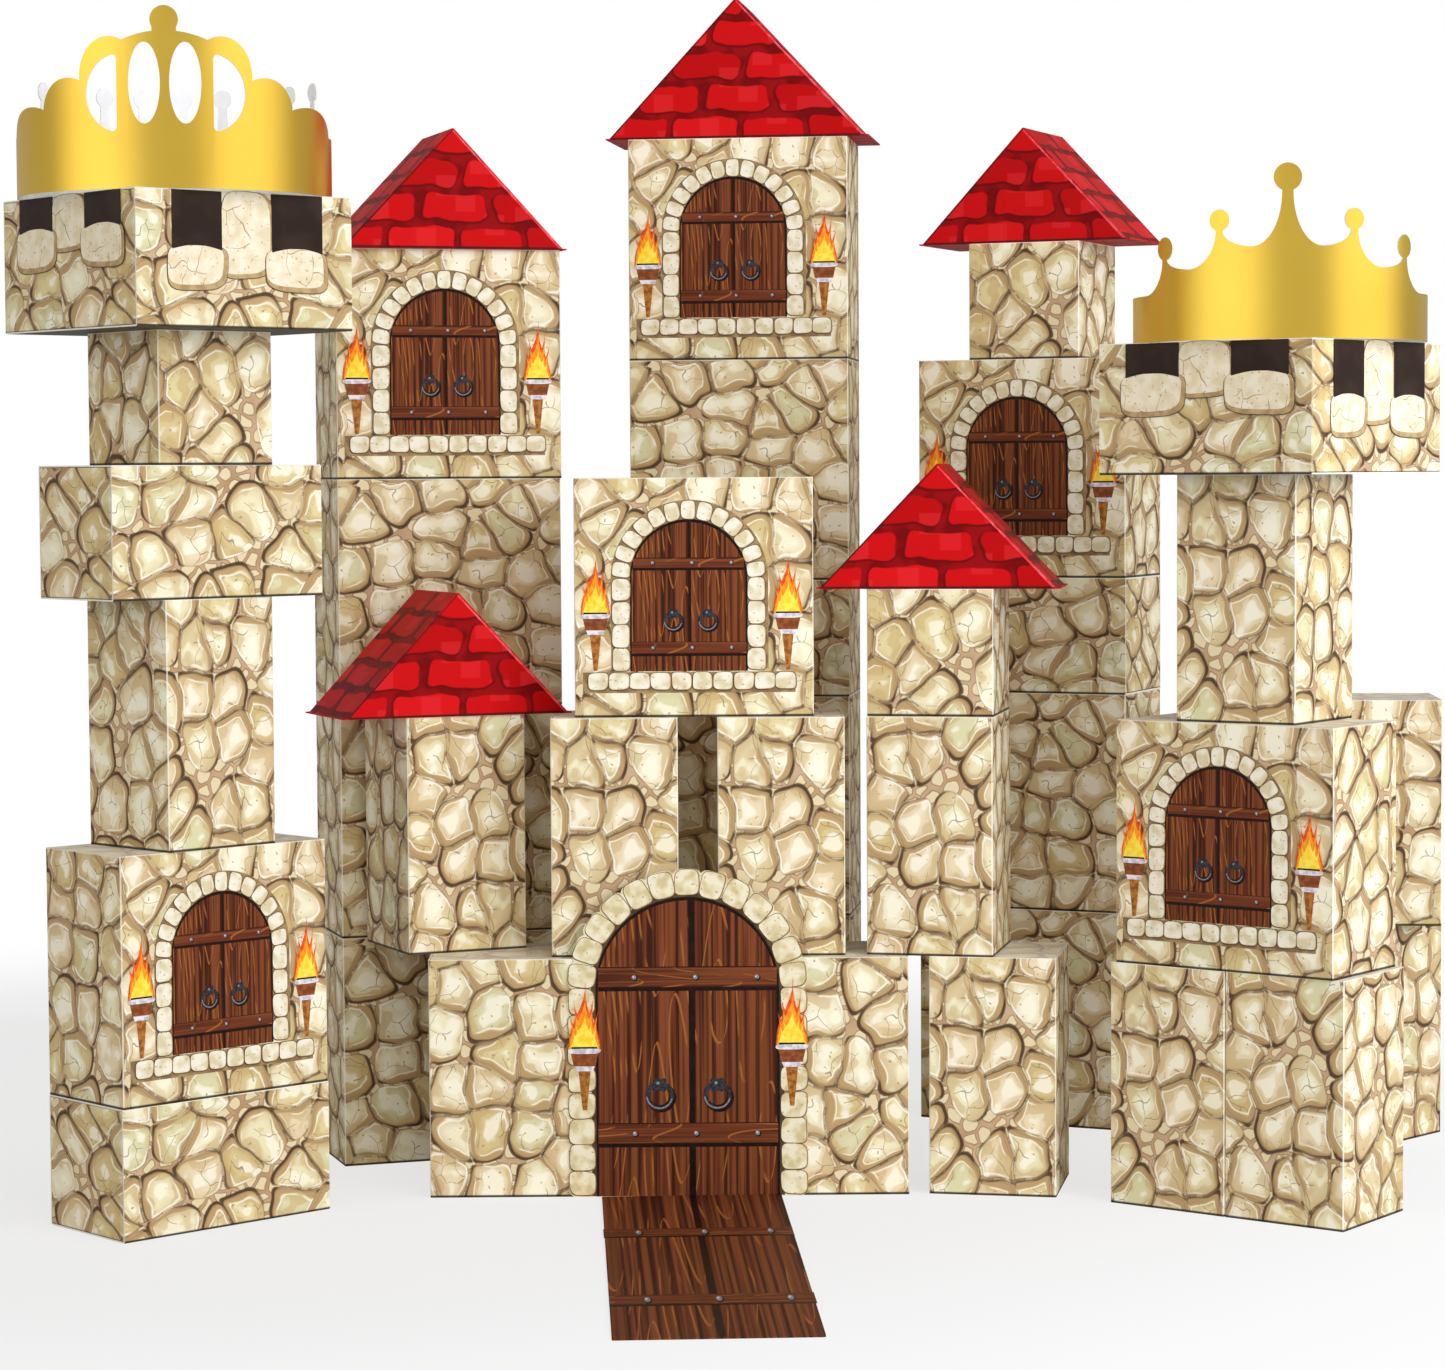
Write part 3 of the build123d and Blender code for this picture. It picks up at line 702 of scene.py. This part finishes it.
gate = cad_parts["gate"]
gate_low, gate_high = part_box("gate")
gate_half = (gate_high.x - gate_low.x) / 2 / MM
gate_foot = Vector(((gate_low.x + gate_high.x) / 2, gate_low.y, 0))
gate_spring = gate_high.z / MM - gate_half
east, upward = Vector((1, 0, 0)), Vector((0, 0, 1))
print_uv(gate, east, upward, gate_foot)
dress(gate, rim_stone)
sheet = Print("gate_print", gate_foot, east, upward)
door_foot, door_half, dark_half = 0.4, 61.2, 64.5
rim = 18.4
sheet.lay(arched(0.0, door_foot, dark_half, gate_spring), contour_ink, 0.5)
stone_rim(sheet, 0.0, 0.0, gate_spring, gate_half - rim / 2, rim, 8, (1.7, 3.0), rim_stone, trim=1.0)
double_door(sheet, 0.0, door_foot, door_half, gate_spring, planks, seam=2.9, seam_width=4.2,
            rails=((36, 49), (141, 154)), rings=((-19.1, 68), (19.6, 68)), ring=9.6, layer=13)
for aside, cup_y in ((-69.0, 99.5), (69.5, 101.5)):
    torch(sheet, aside, cup_y, size=20.5, layer=13)
sheet.done()


# Drawbridge
# A plain rectangle of card on the floor before the gate, printed with planks that run out from
# it, a dark middle seam and two riveted rails.

long_planks = wood_print("printed_planks_of_drawbridge", "up", 1.0, 3.2, PLANK_TONES)
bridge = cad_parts["drawbridge"]
corners = bridge.data.vertices
long_edge = Carton("drawbridge").out
outward = Vector((-long_edge.y, long_edge.x, 0))
outward = outward if outward.y > 0 else -outward
sideways = outward.cross(upward)
reaches = [corner.co.dot(outward) for corner in corners]
sides = [corner.co.dot(sideways) for corner in corners]
top = max(corner.co.z for corner in corners)
bridge_foot = outward * min(reaches) + sideways * (max(sides) + min(sides)) / 2 + upward * top
bridge_half = (max(sides) - min(sides)) / 2 / MM
bridge_reach = (max(reaches) - min(reaches)) / MM
print_uv(bridge, sideways, outward, bridge_foot)
dress(bridge, long_planks)
sheet = Print("drawbridge_print", bridge_foot, sideways, outward)
seam_at, seam_width, edge = 1.2, 4.6, 0.3
sheet.lay(block(seam_at, bridge_reach / 2, seam_width, bridge_reach - 1), shadow_ink, 1)
for low, high in ((85, 109), (278, 300)):
    rail(sheet, 0.0, bridge_half - edge, low, high, rivets=(-38, 4, 46), rivet=1.9, layer=2, tall=3.4)
sheet.done()


# Battlements
# The top carton of each front tower has crenels printed at the upper edge of every side, deep on
# two sides and shallow on the others, with a tall stone between them and a wide one under each.

crenel_ink = printed_ink("dark_crenel_ink", "#291A14", "#35251D", 25.0)
battlement_stone = cut_stone_print(
    "printed_battlement_stones", [(0.3, "#E4D3B0"), (0.48, "#EBDDBE"), (0.65, "#F1E6CD")], 0.8)
# A side's depth of crenels in shares of its height, and their starts and ends in shares of its width
DEEP_SIDE = 0.43, ((0.165, 0.39), (0.62, 0.857))
SHALLOW_SIDE = 0.26, ((0.135, 0.39), (0.636, 0.90))


def crenel(x, low, top, width, sag):
    """A gap between merlons, its lower edge bulging upwards a little over the sill."""
    bottom = [(x + width * (step / 8 - 0.5), low + sag * sin(pi * step / 8)) for step in range(9)]
    return bottom + [(x + width / 2, top), (x - width / 2, top)]


for name, deep_side in (("left_front_battlement", 0), ("right_front_battlement", 1)):
    carton = cartons[name]
    height = (carton.high - carton.low) / MM
    top = height - 0.4
    for turns in range(4):
        foot, across, width = carton.side(turns)
        depth_share, spans = DEEP_SIDE if turns % 2 == deep_side else SHALLOW_SIDE
        depth = depth_share * height
        low = top - depth
        sheet = Print(f"{name}_print_{turns}", foot, across, upward)
        merlon = ((spans[0][1] + spans[1][0]) / 2 - 0.5) * width
        merlon_width = (spans[1][0] - spans[0][1]) * width
        cut_stone(sheet, merlon, top - 0.62 * depth - 4, 1.06 * merlon_width, 1.3 * depth + 9, 0, 1.0, 4,
                  battlement_stone, flank=2.0)
        for number, (start, end) in enumerate(spans):
            x = ((start + end) / 2 - 0.5) * width
            gap = (end - start) * width
            cut_stone(sheet, x, low - 0.13 * height, 1.22 * gap, 0.34 * height, 0, 0.4 + 2.0 * number,
                      7 + 3 * number, battlement_stone, flank=2.4)
            sheet.lay(crenel(x, low, top, gap, 0.035 * height), crenel_ink, 14)
        sheet.done()


# Roofs
# Folded prisms of the same card, printed with bright red bricks in dark red mortar. The gables
# close the ends, and the folded edges are pinker, partly rubbed and partly a painted highlight.

def brick_cells():
    """How many mm a place lies inside its brick, and a random value for each brick."""
    tree, place, leave = cell_group("bricks", "NodeSocketFloat")
    course, length, corner, gap, wave_size = 23.0, 50.0, 5.0, 2.7, 26.0     # mm
    wander = add(tree, "TexNoise", place, 1 / wave_size, 1.0, 0.5, noise_dimensions="2D")
    offset = add(tree, "VectorMath", wander.outputs["Color"], (0.5, 0.5, 0.5), operation="SUBTRACT")
    moved = add(tree, "VectorMath", offset, (13.0, 8.0, 0), place, operation="MULTIPLY_ADD")
    parts = add(tree, "SeparateXYZ", moved)
    level = add(tree, "Math", parts.outputs[1], course, operation="DIVIDE")
    row = add(tree, "Math", level, operation="FLOOR")
    stagger = add(tree, "Math", row, 0.47, operation="MULTIPLY")
    along = add(tree, "Math", parts.outputs[0], 1 / length, stagger, operation="MULTIPLY_ADD")
    number = add(tree, "Math", along, operation="FLOOR")
    # How far past the straight part of a side a place lies, for each of the two directions
    far = []
    for value, size in ((along, length), (level, course)):
        share = add(tree, "Math", add(tree, "Math", value, operation="FRACT"), 0.5, operation="SUBTRACT")
        share = add(tree, "Math", share, operation="ABSOLUTE")
        reach = add(tree, "Math", share, size, operation="MULTIPLY")
        far.append(add(tree, "Math", reach, size / 2 - gap - corner, operation="SUBTRACT"))
    over = [add(tree, "Math", part, 0.0, operation="MAXIMUM") for part in far]
    round_off = add(tree, "VectorMath", add(tree, "CombineXYZ", *over), operation="LENGTH")
    nearer = add(tree, "Math", *far, operation="MAXIMUM")
    nearer = add(tree, "Math", nearer, 0.0, operation="MINIMUM")
    outside = add(tree, "Math", round_off.outputs[1], nearer, operation="ADD")
    depth = add(tree, "Math", corner, outside, operation="SUBTRACT")
    pick = add(tree, "TexWhiteNoise", add(tree, "CombineXYZ", number, row), noise_dimensions="2D")
    tree.links.new(depth.outputs[0], leave.inputs[0])
    tree.links.new(pick.outputs[0], leave.inputs[1])
    return tree


brick_group = brick_cells()


def brick_print(name, wear_and_highlight=0.0):
    """Printed bricks, turned pinker along a fold by the given share: rubbed card, and a painted highlight
    where the fold catches the light.
    """
    material, tree, shader = new_material(name, 0.5, 0.08, relief=0.2)
    place = add(tree, "UVMap", uv_map="Print").outputs[0]
    to_low_side = (-1.6, -1.8, 0)       # mm
    away = add(tree, "VectorMath", place, to_low_side, operation="ADD")
    depth, pick = add(tree, "Group", place, node_tree=brick_group).outputs
    far_depth = add(tree, "Group", away, node_tree=brick_group).outputs[0]
    tone = add(tree, "ValToRGB", pick, stops=[(0.0, "#B8080C"), (0.3, "#C90C10"), (0.7, "#D41216")])
    tone.color_ramp.interpolation = "CONSTANT"
    # Squarish lighter patches in part of the bricks
    patch_size, mortar_size = 30.0, 16.0        # mm
    patches = add(tree, "TexVoronoi", place, 1 / patch_size, distance="CHEBYCHEV", voronoi_dimensions="2D")
    tone = tint(tree, tone, patches.outputs["Distance"], 0.25, 0.22, 0.3, "#E93338")
    mortar = add(tree, "TexNoise", place, 1 / mortar_size, 1.0, 0.5, noise_dimensions="2D")
    mortar_tone = add(tree, "ValToRGB", mortar, stops=[(0.4, "#74060A"), (0.6, "#920A0F")])
    mask = add(tree, "MapRange", depth, -0.5, 0.5)
    colour = add(tree, "Mix", mask, mortar_tone, tone, data_type="RGBA")
    # Painted shadow at the lower left of each brick
    low_side = add(tree, "MapRange", far_depth, 0.5, -1.1)
    near = add(tree, "MapRange", depth, -1.6, -0.4)
    edge = add(tree, "MapRange", depth, 1.1, 0.3)
    line = add(tree, "Math", low_side, near, operation="MULTIPLY")
    line = add(tree, "Math", line, edge, operation="MULTIPLY")
    line = add(tree, "Math", line, 0.85, operation="MULTIPLY")
    colour = add(tree, "Mix", line, colour, "#5E070C", data_type="RGBA")
    # Pinker along a fold: rubbed card, and a painted highlight where the fold catches the light
    if wear_and_highlight:
        colour = add(tree, "Mix", wear_and_highlight, colour, "#F4707A", data_type="RGBA")
    tree.links.new(colour.outputs[2], shader.inputs["Base Color"])
    return material


brick_card = brick_print("printed_brick_card")
brick_fold_wear_and_highlight = brick_print("printed_brick_card_at_folds", 0.45)
eave_ink = printed_ink("dark_red_eave_ink", "#4A0508", "#5E080C", 12.0)
# Pink ink for a painted highlight along the right edge of each gable
gable_edge_highlight_ink = printed_ink("painted_highlight_on_red_edge", "#E5303A", "#F4606A", 9.0)
PRINT_START = (300, 6)      # mm from the print's origin to the foot of a roof
for name in [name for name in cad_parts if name.endswith("_roof")]:
    roof = Carton(name)
    node = roof.node
    layer = node.data.uv_layers.new(name="Print")
    node.data.uv_layers.active = layer
    foot = roof.middle + upward * roof.low
    for polygon in node.data.polygons:
        normal = polygon.normal
        rise = upward - normal * normal.z
        rise = roof.out if rise.length < 0.3 else rise.normalized()
        level = rise.cross(normal)
        for number in polygon.loop_indices:
            point = node.data.vertices[node.data.loops[number].vertex_index].co - foot
            layer.data[number].uv = (point.dot(level) / MM + PRINT_START[0],
                                     point.dot(rise) / MM + PRINT_START[1])
        gable = abs(normal.dot(roof.out)) > 0.9
        slope = 0.5 < normal.z < 0.9
        polygon.material_index = 0 if gable or slope else 1
    dress(node, brick_card, brick_fold_wear_and_highlight)
    # On each gable a dark foot, a dark left edge and a painted highlight along the right edge, where the fold
    # catches the light
    for turns in (0, 2):
        start, across, width = roof.side(turns)
        sheet = Print(f"{name}_print_{turns // 2}", start, across, upward)
        half = width / 2
        rise = (roof.high - roof.low) / MM
        sheet.lay([(3.2 - half, 0.2), (half - 3.2, 0.2), (half - 5, 1.8), (5 - half, 1.6)], eave_ink, 1)
        sheet.lay([(3.0 - half, 1.0), (4.6 - half, 1.0), (0.4, rise - 1.0), (-0.6, rise - 1.2)],
                  eave_ink, 2)
        # The painted highlight along the right edge
        sheet.lay([(half - 3.0, 1.0), (0.4, rise - 1.4), (-0.4, rise - 2.2), (half - 5.6, 1.0)],
                  gable_edge_highlight_ink, 3)
        sheet.done()


# Crowns
# Strips of thin card faced with gold metal foil and closed into rings with their ends lapped.
# The foil is smooth and shows the room in soft upright bands, and the card's back is pale grey.

foil_patches, back_patches = 14.0, 60.0         # to a metre
gold_foil, tree, shader = new_material("gold_foil_card", 0.28, 0.5, metallic=1.0, relief=0.06, grain=2.5)
drift = add(tree, "TexNoise", add(tree, "TexCoord").outputs["Object"], foil_patches, 1.0, 0.5)
tint_of_foil = add(tree, "ValToRGB", drift, stops=[(0.35, "#FDD051"), (0.65, "#FFD858")])
tree.links.new(tint_of_foil.outputs[0], shader.inputs["Base Color"])
grey_back, tree, shader = new_material("grey_back_of_foil_card", 0.8, 0.3, relief=0.2)
drift = add(tree, "TexNoise", add(tree, "TexCoord").outputs["Object"], back_patches, 2.0, 0.5)
tint_of_back = add(tree, "ValToRGB", drift, stops=[(0.35, "#F2F2F6"), (0.65, "#FDFDFF")])
tree.links.new(tint_of_back.outputs[0], shader.inputs["Base Color"])
for name in ("left_crown", "right_crown"):
    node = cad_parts[name]
    low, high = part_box(name)
    axis = Vector(((low.x + high.x) / 2, (low.y + high.y) / 2, 0))
    dress(node, gold_foil, grey_back, raw_card)
    for polygon in node.data.polygons:
        away = polygon.center - axis
        away.z = 0
        facing = polygon.normal.dot(away.normalized())
        polygon.material_index = 0 if facing > 0.6 else 1 if facing < -0.6 else 2
        polygon.use_smooth = True
    node.data.set_sharp_from_angle(angle=radians(35))


# Floor and light of the studio
# A pale matt floor that runs into a white backdrop, in a soft grey-white room. Two tall soft boxes
# stand in the room, and two lamps light the castle from the right and from the front.

LEFT, RIGHT, FRONT, BACK = -6, 6, -4, 9         # metres
floor_mesh = bpy.data.meshes.new("floor")
floor_corners = [(LEFT, FRONT, 0), (RIGHT, FRONT, 0), (RIGHT, BACK, 0), (LEFT, BACK, 0)]
floor_mesh.from_pydata(floor_corners, [], [(0, 1, 2, 3)])
floor = bpy.data.objects.new("floor", floor_mesh)
scene.collection.objects.link(floor)
floor_paint = bpy.data.materials.new("matt_white_floor")
floor_paint.use_nodes = True
tree = floor_paint.node_tree
shader = tree.nodes["Principled BSDF"]
shader.inputs["Base Color"].default_value = linear("#E4E3E3")
shader.inputs["Roughness"].default_value = 0.9
# The camera sees it mixed with the white of the backdrop, in part near the castle and wholly beyond
fade_middle, fade_start, fade_end = (-0.35, 0.3, 0.0), 0.55, 1.2        # metres
place = add(tree, "TexCoord").outputs["Object"]
spot = add(tree, "VectorMath", place, fade_middle, operation="SUBTRACT")
away = add(tree, "VectorMath", spot, operation="LENGTH").outputs[1]
far = add(tree, "MapRange", away, fade_start, fade_end, 0.7, 1.0, interpolation_type="SMOOTHSTEP")
white = add(tree, "Emission", (1, 1, 1, 1), 1.0)
path = add(tree, "LightPath")
amount = add(tree, "Math", far, path.outputs["Is Camera Ray"], operation="MULTIPLY")
fade = add(tree, "MixShader", amount, shader, white)
tree.links.new(fade.outputs[0], tree.nodes["Material Output"].inputs["Surface"])
floor_mesh.materials.append(floor_paint)

world = bpy.data.worlds.new("studio")
scene.world = world
world.use_nodes = True
tree = world.node_tree
# Two tall soft boxes at the left and right of the camera, in shares of the way round, with a grey
# stretch between them. They fade out 17 to 30 degrees above the floor, and the room is dimmer
ROOM, SOFT_BOX = (0.425, 0.42, 0.41, 1), (1.3, 1.3, 1.3, 1)
way = add(tree, "SeparateXYZ", add(tree, "TexCoord").outputs["Generated"])
backwards = add(tree, "Math", way.outputs[1], -1.0, operation="MULTIPLY")
bearing = add(tree, "Math", way.outputs[0], backwards, operation="ARCTAN2")
around = add(tree, "Math", bearing, 1 / (2 * pi), 0.5, operation="MULTIPLY_ADD")
boxes = add(tree, "ValToRGB", around, stops=[
    (0.0, "#000000"), (0.25, "#000000"), (0.32, "#FFFFFF"), (0.40, "#FFFFFF"), (0.47, "#707070"),
    (0.57, "#707070"), (0.62, "#FFFFFF"), (0.71, "#FFFFFF"), (0.79, "#000000"), (1.0, "#000000")])
level = add(tree, "MapRange", way.outputs[2], 0.5, 0.3)
box = add(tree, "Math", boxes, level, operation="MULTIPLY")
sky = add(tree, "Mix", box, ROOM, SOFT_BOX, data_type="RGBA")
room = tree.nodes["Background"]
tree.links.new(sky.outputs[2], room.inputs["Color"])
room.inputs["Strength"].default_value = 1.0
seen = add(tree, "Background", (1, 1, 1, 1), 1.0)
path = add(tree, "LightPath")
choose = add(tree, "MixShader", path.outputs["Is Camera Ray"], room, seen)
tree.links.new(choose.outputs[0], tree.nodes["World Output"].inputs["Surface"])

# A soft box close by at the right lights the right sides, and a broad weak lamp above and to the
# right of the camera fills the fronts. Neither shows in the foil, where the room's soft boxes do.
AIM = Vector((0.25, 0.1, 0.4))
lamps = {}
for name, kind, energy, spot in (("side_lamp", "AREA", 10.5, (1.1, -0.95, 0.75)),
                                 ("front_lamp", "SUN", 1.0, (0.95, -2.2, 1.2))):
    lamp = bpy.data.objects.new(name, bpy.data.lights.new(name, kind))
    scene.collection.objects.link(lamp)
    lamp.data.energy = energy
    lamp.location = spot
    lamp.rotation_euler = (Vector(spot) - AIM).to_track_quat("Z", "Y").to_euler()
    lamp.visible_glossy = False
    lamps[name] = lamp.data
lamps["side_lamp"].size = 0.8
lamps["side_lamp"].color = (0.93, 1.0, 1.12)
lamps["front_lamp"].angle = radians(50)
